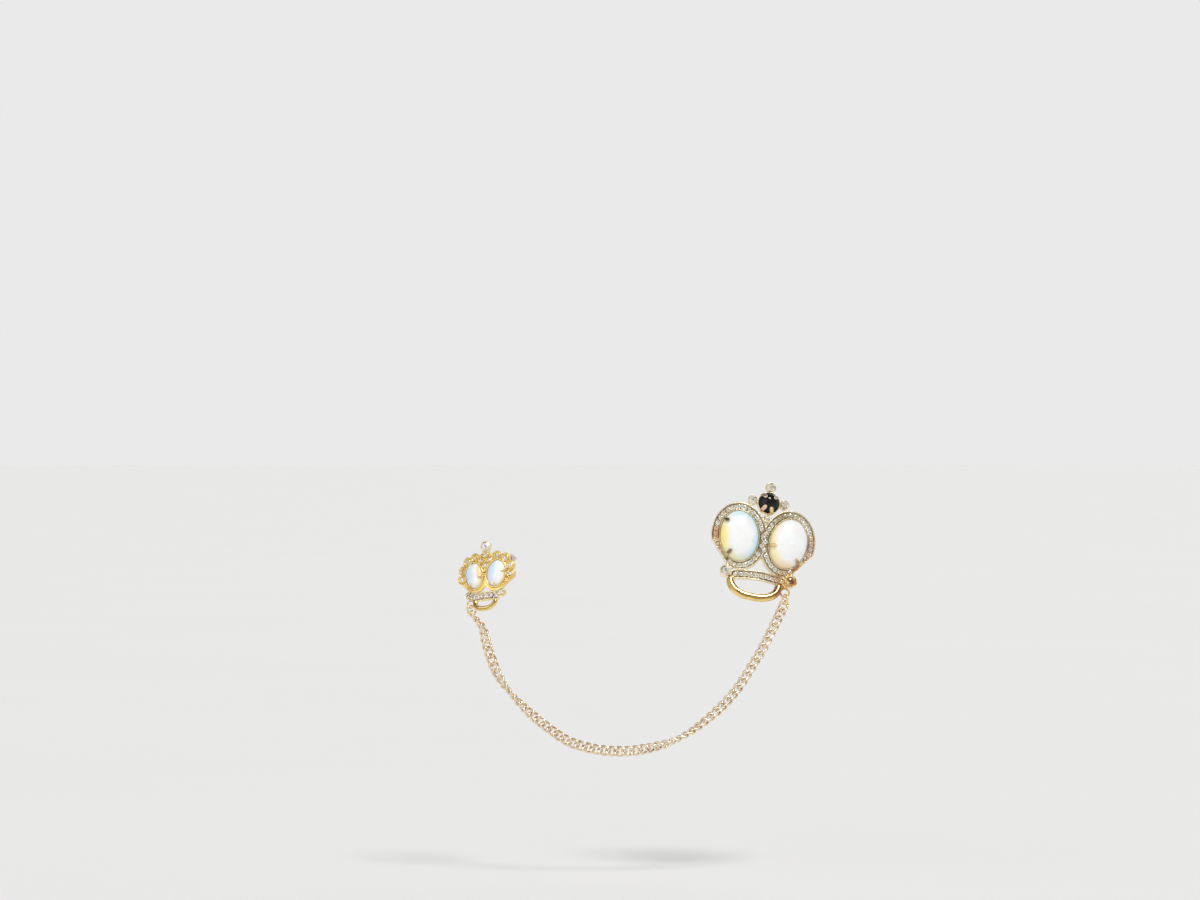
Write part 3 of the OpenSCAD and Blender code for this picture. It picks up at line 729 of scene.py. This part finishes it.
def grain_places(stones, radius):
    """Places of the metal grains that hold a field of stones, two between each pair of neighbours."""
    # Shares of the stones' radii, and then of the grain's radius
    neighbour, aside = 1.3, 0.72
    rise, clearance, spacing = 0.2, 0.35, 1.6
    centres = [seat.translation for seat in stones]
    radii = [seat.col[0].to_3d().length for seat in stones]
    found = []
    for i, j in combinations(range(len(stones)), 2):
        a, b, span = centres[i], centres[j], radii[i] + radii[j]
        if (b - a).length > neighbour * span:
            continue
        out = stones[i].col[2].to_3d().normalized()
        side = (b - a).cross(out).normalized()
        for sign in (-1, 1):
            place = (a + b) / 2 + sign * side * aside * span / 2 + out * radius * rise
            clear = all((place - c).length > r + clearance * radius for c, r in zip(centres, radii))
            apart = all((place - p).length > spacing * radius for p, _ in found)
            if clear and apart:
                found.append((place, out))
    return found


def claw_places(stones, radius):
    """Four small claws round each single stone."""
    away, rise = radius * 0.25, radius * 0.35
    found = []
    for seat in stones:
        r = seat.col[0].to_3d().length
        x, y, out = (seat.col[k].to_3d().normalized() for k in range(3))
        for k in range(4):
            angle = math.pi / 4 + k * math.pi / 2
            place = seat.translation + (r + away) * (x * math.cos(angle) + y * math.sin(angle))
            found.append((place + out * rise, out))
    return found


def grains(name, places, matrix, radius):
    """Small rounded beads of metal, each pressed a little flat and given part of the wear and painted
    highlight of a proud edge.
    """
    flatness, proud = 0.85, 0.3
    bpy.ops.mesh.primitive_ico_sphere_add(subdivisions=2, radius=radius)
    master = bpy.context.object
    bpy.ops.object.shade_smooth()
    matrices = []
    for place, out in places:
        turn = out.to_track_quat("Z", "X").to_matrix().to_4x4()
        matrices.append(matrix @ Matrix.Translation(place) @ turn @ Matrix.Diagonal((1, 1, flatness, 1)))
    piece = copies_at(name, master, matrices)
    # Part of a proud edge's wear and painted highlight on every grain
    write_values(piece, "hollow", np.full(len(piece.data.vertices), proud))
    return piece


# Stones

# Round brilliant of radius 1: half its girdle, the height of its table and the depth of its culet
GIRDLE, TABLE, CULET = 0.03, 0.41, -0.5

BRILLIANT_CUTS = (
    # slope in degrees, reach and height that the facets pass through, their number, turn in facets
    (41, 0.975, GIRDLE, 8, 0),
    (0, 0, TABLE, 1, 0),
    (47, 0.985, GIRDLE, 16, 0.25),
    (24, 0.49, TABLE, 8, 0.5),
    (-37, 0.975, -GIRDLE, 8, 0),
    (-180, 0, CULET, 1, 0),
)

# How far cut stones lean in their seats, in degrees, and how much wider they are than their solids
STONE_LEAN = 2.5
NARROW_FIT, WIDE_FIT = 1.06, 1.075


def grind(steepness, reach, height, turns, offset):
    """Cuts a row of flat facets: each plane meets this reach at this height and slopes by steepness."""
    slope = math.radians(steepness)
    for i in range(turns):
        angle = 2 * math.pi * (i + offset) / turns
        across = Vector((math.cos(angle), math.sin(angle), 0))
        normal = across * math.sin(abs(slope)) + UP * math.copysign(math.cos(slope), steepness)
        bpy.ops.mesh.select_all(action="SELECT")
        bpy.ops.mesh.bisect(plane_co=across * reach + UP * height, plane_no=normal, use_fill=True,
                            clear_outer=True, threshold=1e-5)


def is_table(face):
    return face.normal.z > 0.99


def brilliant_master():
    """Round brilliant of radius 1 with its girdle at 0: table, stars, mains and breaks."""
    bpy.ops.mesh.primitive_cylinder_add(vertices=16, radius=1, depth=2)
    stone = bpy.context.object
    with edit_mode():
        for cut in BRILLIANT_CUTS:
            grind(*cut)
    pick_only(stone)
    bpy.context.tool_settings.mesh_select_mode = (False, False, True)
    for face in stone.data.polygons:
        face.select = is_table(face)
    with edit_mode():
        bpy.ops.mesh.inset(thickness=0.16)
        bpy.ops.mesh.inset(thickness=0.15)
    return stone


def cut_stones(node, seed, fit):
    """The cut stones of a node as one mesh, each a little tilted and each facet with its own tone of painted
    reflection, the middle of the table a darker one.
    """
    middle_of_table, dark_table_reflection = 0.05, 0.25
    draw = np.random.default_rng(seed)
    master = brilliant_master()
    # The middle of each table gets a darker painted reflection
    reflection_tones = [dark_table_reflection if is_table(face) and face.center.xy.length < middle_of_table else 1
             for face in master.data.polygons]
    places = []
    for seat in seats(node):
        lean_x, lean_y, turn = draw.normal(0, STONE_LEAN, 3)
        leaned = Euler((math.radians(lean_x), math.radians(lean_y), turn)).to_matrix().to_4x4()
        places.append(seat @ leaned @ Matrix.Diagonal((fit, fit, 1, 1)))
    piece = copies_at(node + "_cut", master, places)
    reflection_tones = draw.random(len(piece.data.polygons)) * np.tile(reflection_tones, len(places))
    write_values(piece, "facet_reflection", reflection_tones, "FACE")
    return piece


def dome_master(girdle, foot):
    """Cabochon of radius 1 and dome height 1: the dome above 0, the upright girdle and foot below."""
    foot_width = 0.95
    bpy.ops.mesh.primitive_uv_sphere_add(segments=72, ring_count=36, radius=1)
    master = bpy.context.object
    with edit_mode():
        bpy.ops.mesh.select_all(action="SELECT")
        bpy.ops.mesh.bisect(plane_co=(0, 0, 0), plane_no=(0, 0, 1), clear_inner=True)
        bpy.ops.mesh.select_all(action="DESELECT")
    for edge in master.data.edges:
        edge.select = all(abs(master.data.vertices[v].co.z) < 1e-4 for v in edge.vertices)
    with edit_mode():
        bpy.ops.mesh.extrude_region_move(TRANSFORM_OT_translate={"value": (0, 0, -girdle + foot)})
        bpy.ops.mesh.extrude_region_move(TRANSFORM_OT_translate={"value": (0, 0, -foot)})
        bpy.ops.transform.resize(value=(foot_width, foot_width, 1))
        bpy.ops.mesh.edge_face_add()
    smooth_outside(40)
    return master


def opal_stone(node, girdle):
    """A smooth domed stone in the place of its oval node, with a map of its face from 0 to 1."""
    centre, axes, size = main_axes(np.vstack(loose_solids(node)))
    height, width, depth = size
    up, _, out = (Vector(axis) for axis in axes)
    if up.z < 0:
        up = -up
    if out.y > 0:
        out = -out
    dome = depth - girdle * MM
    stone = dome_master(girdle * MM / dome, OPAL_FOOT * MM / dome)
    layer = stone.data.uv_layers.active
    layer.name = "face"
    for loop, spot in zip(stone.data.loops, layer.data):
        co = stone.data.vertices[loop.vertex_index].co
        spot.uv = (0.5 + co.x / 2, 0.5 + co.y / 2)
    place = Vector(centre) + out * (girdle * MM - depth / 2)
    stone.data.transform(basis(up.cross(out) * (width / 2), up * (height / 2), out * dome, place))
    return named(stone, node + "_glass")


def black_stone():
    """The round domed stone of the top cup."""
    solid, = loose_solids("large_black_cabochon")
    points = np.array([LARGE.inverted() @ Vector(p) for p in solid])
    low, high = points.min(0), points.max(0)
    radius, dome = (high[0] - low[0]) / 2, high[2] - low[2] - BLACK_GIRDLE
    stone = dome_master(BLACK_GIRDLE / dome, BLACK_FOOT / dome)
    middle = Vector(((low[0] + high[0]) / 2, (low[1] + high[1]) / 2, low[2] + BLACK_GIRDLE))
    stone.data.transform(LARGE @ Matrix.Translation(middle) @ Matrix.Diagonal((radius, radius, dome, 1)))
    return named(stone, "large_black_glass")


# Chain, rings and pins

# How far a link's filed flats lie off its wire's middle, as a share of the wire's radius
LINK_FLAT = 0.72

# Where the ends of a jump ring meet: the angle, half the joint's width, and the wire's thickness there
JOINT_ANGLE, JOINT_HALF_WIDTH = math.radians(200), math.radians(3)
JOINT_WAIST = 0.86


def curb_link_master(settings):
    """One curb link round the origin: an oval of wire whose sides twist out of its plane."""
    length, width = settings.link_length / MM, settings.link_width / MM
    wire, twist = settings.link_wire / MM, settings.link_twist / MM
    bpy.ops.mesh.primitive_torus_add(major_segments=32, minor_segments=10, major_radius=1, minor_radius=0.25)
    link = bpy.context.object

    def line(t):
        return Vector((length / 2 * math.cos(t), width / 2 * math.sin(t), twist * math.sin(2 * t)))

    step = 0.05
    limit = twist + wire / 2 * LINK_FLAT
    for vert in link.data.vertices:
        t = math.atan2(vert.co.y, vert.co.x)
        roll = math.atan2(vert.co.z, vert.co.xy.length - 1)
        ahead = (line(t + step) - line(t - step)).normalized()
        side = ahead.cross(UP).normalized()
        vert.co = line(t) + wire / 2 * (math.cos(roll) * side + math.sin(roll) * side.cross(ahead))
        vert.co.z = max(-limit, min(limit, vert.co.z))
    smooth_outside(50)
    mark_hollows(link, passes=4, depth=0.2)
    return link


def link_places():
    """A matrix for each link of the chain, from the link's own millimetres."""
    matrices = []
    for points in loose_solids("chain"):
        centre, axes, _ = main_axes(points)
        along, across = Vector(axes[0]), Vector(axes[1])
        matrices.append(basis(along * MM, across * MM, along.cross(across) * MM, centre))
    return matrices


def jump_ring(node):
    """A ring of round wire in the place of its node, with the fine joint where its ends meet."""
    centre, axes, size = main_axes(np.vstack(loose_solids(node)))
    wire = size[2]
    radius = (size[0] - wire) / 2
    bpy.ops.mesh.primitive_torus_add(major_segments=72, minor_segments=18, major_radius=radius,
                                     minor_radius=wire / 2)
    ring = bpy.context.object
    for vert in ring.data.vertices:
        angle = math.atan2(vert.co.y, vert.co.x) % (2 * math.pi)
        if abs(angle - JOINT_ANGLE) < JOINT_HALF_WIDTH:
            middle = Vector((math.cos(angle), math.sin(angle), 0)) * radius
            vert.co = middle + (vert.co - middle) * JOINT_WAIST
    bpy.ops.object.shade_smooth()
    x, y = Vector(axes[0]), Vector(axes[1])
    ring.data.transform(basis(x, y, x.cross(y), centre))
    mark_hollows(ring, passes=4, depth=0.00006)
    return named(ring, node + "_wire")


def softened_pin(node, matrix):
    """The bar pin as one worked piece of metal with softened edges."""
    pin = copy_of_node(node, matrix)
    apply_modifier(pin, "REMESH", mode="VOXEL", voxel_size=0.14)
    apply_modifier(pin, "SMOOTH", factor=0.5, iterations=4)
    apply_modifier(pin, "DECIMATE", ratio=0.35)
    bpy.ops.object.shade_smooth()
    mark_hollows(pin, passes=8, depth=0.2)
    pin.data.transform(matrix)
    return named(pin, node + "_bar")


# Camera, light and floor

# Place in the photo, in pixels, of the row frame's origin, and the photo's size
PHOTO_ORIGIN = (762.15, 535.65)
PHOTO_SIZE = (1200, 900)
SENSOR_WIDTH = 36

SUNS = (
    # name, degrees above the horizon, degrees to the right of the front, strength, width in degrees, colour
    ("key_sun", 60, 30, 1.5, 20, (1, 0.99, 0.97)),
    ("left_sun", 34, -42, 0.6, 60, (1, 1, 1)),
    ("back_sun", 42, 160, 0.5, 30, (0.98, 0.99, 1)),
)

SKY_LEVELS = (
    # height of the direction, brightness
    (0, 0.822), (0.13, 0.822), (0.26, 0.46), (0.6, 0.42), (0.85, 0.16),
)


def add_camera(stage):
    """Level camera whose view holds the brooch where the photo has it."""
    scale = stage.view_width / PHOTO_SIZE[0]
    x = (PHOTO_SIZE[0] / 2 - PHOTO_ORIGIN[0]) * scale
    z = (PHOTO_ORIGIN[1] - PHOTO_SIZE[1] / 2) * scale
    bpy.ops.object.camera_add(location=(x, -stage.camera_away, z), rotation=(math.pi / 2, 0, 0))
    camera = bpy.context.object
    camera.data.sensor_width = SENSOR_WIDTH
    camera.data.lens = SENSOR_WIDTH * stage.camera_away / stage.view_width
    camera.data.clip_start, camera.data.clip_end = 0.01, 200
    bpy.context.scene.camera = camera


def add_floor(stage):
    bpy.ops.mesh.primitive_plane_add(size=80, location=(0, 0, stage.floor_height))
    floor = named(bpy.context.object, "floor")
    finish = Finish("pale_floor")
    colour = finish.mix(finish.noise(3, 2), (0.86, 0.86, 0.86), (0.88, 0.88, 0.88))
    floor.data.materials.append(finish.shade(colour, Roughness=0.85))


def add_sky():
    """Pale surroundings, bright at the level of the horizon and dimmer above."""
    world = bpy.data.worlds.new("studio")
    bpy.context.scene.world = world
    world.use_nodes = True
    tree = world.node_tree
    place = tree.nodes.new("ShaderNodeTexCoord").outputs["Generated"]
    split = tree.nodes.new("ShaderNodeSeparateXYZ")
    tree.links.new(place, split.inputs[0])
    ramp = tree.nodes.new("ShaderNodeValToRGB")
    stops = ramp.color_ramp.elements
    while len(stops) < len(SKY_LEVELS):
        stops.new(0.5)
    for stop, (height, level) in zip(stops, SKY_LEVELS):
        stop.position = height
        stop.color = (level, level, level, 1)
    tree.links.new(split.outputs["Z"], ramp.inputs[0])
    tree.links.new(ramp.outputs["Color"], tree.nodes["Background"].inputs["Color"])


def add_sun(name, height, side, strength, width, colour):
    """Wide soft light that falls evenly on the whole floor."""
    bpy.ops.object.light_add(type="SUN", rotation=(math.radians(90 - height), 0, math.radians(side)))
    sun = named(bpy.context.object, name)
    sun.data.energy = strength
    sun.data.angle = math.radians(width)
    sun.data.color = colour


# Settings


class BroochMetal(bpy.types.PropertyGroup):
    """Colours and casting of the metal."""

    large_gold: FloatVectorProperty(
        name="Large crown", description="Plating of the large crown",
        default=(0.93, 0.8, 0.56), subtype="COLOR", min=0, max=1)
    small_gold: FloatVectorProperty(
        name="Small crown", description="Plating of the small crown",
        default=(0.97, 0.76, 0.32), subtype="COLOR", min=0, max=1)
    chain_gold: FloatVectorProperty(
        name="Chain", description="Worn plating of the chain",
        default=(0.88, 0.75, 0.57), subtype="COLOR", min=0, max=1)
    casting_grain: FloatProperty(
        name="Casting grain", description="Finest shape that the casting keeps",
        default=0.00016, unit="LENGTH", min=0.0001, max=0.001)
    bead_radius: FloatProperty(
        name="Grain radius", description="Radius of the grains that hold the stones",
        default=0.00028, unit="LENGTH", min=0.0001, max=0.0005)


class BroochStones(bpy.types.PropertyGroup):
    """Colours of the stones and of the painted reflections in their facets."""

    # Colour of the painted bright reflection in the rhinestones' facets
    light_facet_reflection: FloatVectorProperty(
        name="Foil, light", description="Bright facets of the rhinestones",
        default=(0.96, 0.95, 0.92), subtype="COLOR", min=0, max=1)
    # Colour of the painted dark reflection in the rhinestones' facets
    dark_facet_reflection: FloatVectorProperty(
        name="Foil, dark", description="Dark facets of the rhinestones",
        default=(0.22, 0.2, 0.14), subtype="COLOR", min=0, max=1)
    opal_milk: FloatVectorProperty(
        name="Opal glass", description="Milky body of the opal glass",
        default=(0.955, 0.965, 0.97), subtype="COLOR", min=0, max=1)


class BroochChain(bpy.types.PropertyGroup):
    """Sizes of a chain link."""

    link_length: FloatProperty(
        name="Link length", description="Length of a link along its wire's middle",
        default=0.0046, unit="LENGTH", min=0.003, max=0.006)
    link_width: FloatProperty(
        name="Link width", description="Width of a link along its wire's middle",
        default=0.0032, unit="LENGTH", min=0.002, max=0.005)
    link_wire: FloatProperty(
        name="Wire", description="Diameter of the link wire",
        default=0.00104, unit="LENGTH", min=0.0005, max=0.0012)
    link_twist: FloatProperty(
        name="Twist", description="Rise of the curb twist to each side",
        default=0.0009, unit="LENGTH", min=0, max=0.0012)


class BroochStage(bpy.types.PropertyGroup):
    """Camera, light and floor."""

    view_width: FloatProperty(
        name="View width", description="Width of the view at the brooch",
        default=0.48, unit="LENGTH", min=0.1, max=1)
    camera_away: FloatProperty(
        name="Camera distance", description="Distance from the camera to the brooch",
        default=1.6, unit="LENGTH", min=0.5, max=4)
    floor_height: FloatProperty(
        name="Floor height", description="Height of the floor below the large pin",
        default=-0.134, unit="LENGTH", min=-1, max=-0.1)


# Operators


class CrownMetalOperator(bpy.types.Operator):
    """Casts the metal of both crowns"""

    bl_idname = "brooch.crown_metal"
    bl_label = "Crown metal"

    def execute(self, context):
        metal = context.scene.brooch_metal
        grain = metal.casting_grain / MM
        rim = [(rim_line(**LARGE_RIM), LARGE_RIM_WIRE)]
        large = cast_crown("large", LARGE, rim, grain, LARGE_TRIANGLES, LARGE_FIELDS)
        gold = plated_metal("pale_gold_plate", metal.large_gold)
        finish_piece(large, ["large_crown_frame"], gold)
        small = cast_crown("small", SMALL, small_bars(), grain * SMALL_FINER, SMALL_TRIANGLES, SMALL_FIELDS)
        gold = plated_metal("yellow_gold_plate", metal.small_gold)
        finish_piece(small, ["small_crown_frame"], gold)
        return {"FINISHED"}


class GrainsOperator(bpy.types.Operator):
    """Raises the grains and small claws that hold the cut stones"""

    bl_idname = "brooch.grains"
    bl_label = "Grains and claws"

    def execute(self, context):
        radius = context.scene.brooch_metal.bead_radius / MM
        large = grain_places(seats(*LARGE_FIELDS, crown=LARGE), radius)
        large += claw_places(seats(*LARGE_SINGLES, crown=LARGE), radius * LARGE_CLAW)
        clawed = seats("small_arch_stones", "small_centre_stones", *SMALL_SINGLES, crown=SMALL)
        small = grain_places(seats("small_band_stones", crown=SMALL), radius * SMALL_SPACING)
        small += claw_places(clawed, radius)
        for size, places, matrix, bead, gold in (
            ("large", large, LARGE, radius, "pale_gold"),
            ("small", small, SMALL, radius * SMALL_GRAIN, "yellow_gold"),
        ):
            piece = grains(size + "_crown_grains", places, matrix, bead)
            finish_piece(piece, [], bpy.data.materials[gold + "_plate"])
        return {"FINISHED"}


class OpalOperator(bpy.types.Operator):
    """Sets the four domed opal glass stones"""

    bl_idname = "brooch.opals"
    bl_label = "Opal stones"

    def execute(self, context):
        milk = tuple(context.scene.brooch_stones.opal_milk)
        for size, girdle in OPAL_GIRDLES.items():
            for side in ("left", "right"):
                node = f"{size}_opal_{side}"
                finish_piece(opal_stone(node, girdle), [node], opal_glass(node, milk))
        return {"FINISHED"}


class BlackStoneOperator(bpy.types.Operator):
    """Sets the round black stone of the large crown"""

    bl_idname = "brooch.black_stone"
    bl_label = "Black stone"

    def execute(self, context):
        finish_piece(black_stone(), ["large_black_cabochon"], black_glass())
        return {"FINISHED"}


class CutStonesOperator(bpy.types.Operator):
    """Sets every cut rhinestone"""

    bl_idname = "brooch.cut_stones"
    bl_label = "Cut stones"

    def execute(self, context):
        stones = context.scene.brooch_stones
        # Colours of the painted dark and bright facet reflections
        dark, light = tuple(stones.dark_facet_reflection), tuple(stones.light_facet_reflection)
        large = foiled_glass("rhinestone_large", dark, (0.8, 0.77, 0.64), light, STONE_STAINS, LARGE)
        small = foiled_glass("rhinestone_small", (0.16, 0.1, 0.09), (0.74, 0.64, 0.6), light, TINTS, SMALL)
        amber = foiled_glass("amber_rhinestone", (0.12, 0.03, 0.01), (0.56, 0.27, 0.06), (0.97, 0.72, 0.3),
                             AMBER_STAINS, LARGE)
        for seed, node in enumerate(LARGE_SINGLES + LARGE_FIELDS + SMALL_SINGLES + SMALL_FIELDS):
            material, slot = (large if node.startswith("large") else small), "rhinestone"
            if node == "large_base_stone_right":
                material, slot = amber, "amber_rhinestone"
            fit = NARROW_FIT if node.endswith("stones") else WIDE_FIT
            finish_piece(cut_stones(node, seed, fit), [node], material)
        return {"FINISHED"}


class ChainOperator(bpy.types.Operator):
    """Links the curb chain and closes its two jump rings"""

    bl_idname = "brooch.chain"
    bl_label = "Chain and rings"

    def execute(self, context):
        metal = context.scene.brooch_metal
        chain = copies_at("chain_links", curb_link_master(context.scene.brooch_chain), link_places())
        finish_piece(chain, ["chain"], plated_metal("antique_gold_plate", metal.chain_gold))
        gold = plated_metal("ring_gold_plate", metal.small_gold)
        for node in ("large_jump_ring", "small_jump_ring"):
            finish_piece(jump_ring(node), [node], gold)
        return {"FINISHED"}


class PinsOperator(bpy.types.Operator):
    """Finishes the two bar pins behind the crowns"""

    bl_idname = "brooch.pins"
    bl_label = "Bar pins"

    def execute(self, context):
        steel = plated_metal("pin_steel", (0.8, 0.74, 0.69))
        for node, matrix in (("large_pin", LARGE), ("small_pin", SMALL)):
            finish_piece(softened_pin(node, matrix), [node], steel)
        return {"FINISHED"}


class StageOperator(bpy.types.Operator):
    """Sets the camera, the soft studio light and the pale floor"""

    bl_idname = "brooch.stage"
    bl_label = "Camera, light and floor"

    def execute(self, context):
        stage = context.scene.brooch_stage
        add_camera(stage)
        add_floor(stage)
        add_sky()
        for sun in SUNS:
            add_sun(*sun)
        context.scene.view_settings.view_transform = "Standard"
        return {"FINISHED"}


class BroochPanel(bpy.types.Panel):
    """Lists the settings and the steps"""

    bl_idname = "VIEW3D_PT_brooch"
    bl_label = "Chatelaine brooch"
    bl_space_type = "VIEW_3D"
    bl_region_type = "UI"
    bl_category = "Brooch"

    def draw(self, context):
        for name, cls in SETTINGS.items():
            box = self.layout.box()
            for key in cls.__annotations__:
                box.prop(getattr(context.scene, name), key)
        for operator in STEPS:
            self.layout.operator(operator.bl_idname)


SETTINGS = {
    "brooch_metal": BroochMetal,
    "brooch_stones": BroochStones,
    "brooch_chain": BroochChain,
    "brooch_stage": BroochStage,
}
STEPS = (CrownMetalOperator, GrainsOperator, OpalOperator, BlackStoneOperator, CutStonesOperator,
         ChainOperator, PinsOperator, StageOperator)


def register():
    for cls in (*SETTINGS.values(), *STEPS, BroochPanel):
        bpy.utils.register_class(cls)
    for name, cls in SETTINGS.items():
        setattr(bpy.types.Scene, name, PointerProperty(type=cls))


def unregister():
    for name in SETTINGS:
        delattr(bpy.types.Scene, name)
    for cls in reversed((*SETTINGS.values(), *STEPS, BroochPanel)):
        bpy.utils.unregister_class(cls)


def main():
    register()
    bpy.ops.brooch.crown_metal()
    bpy.ops.brooch.grains()
    bpy.ops.brooch.opals()
    bpy.ops.brooch.black_stone()
    bpy.ops.brooch.cut_stones()
    bpy.ops.brooch.chain()
    bpy.ops.brooch.pins()
    bpy.ops.brooch.stage()


if __name__ == "__main__":
    main()
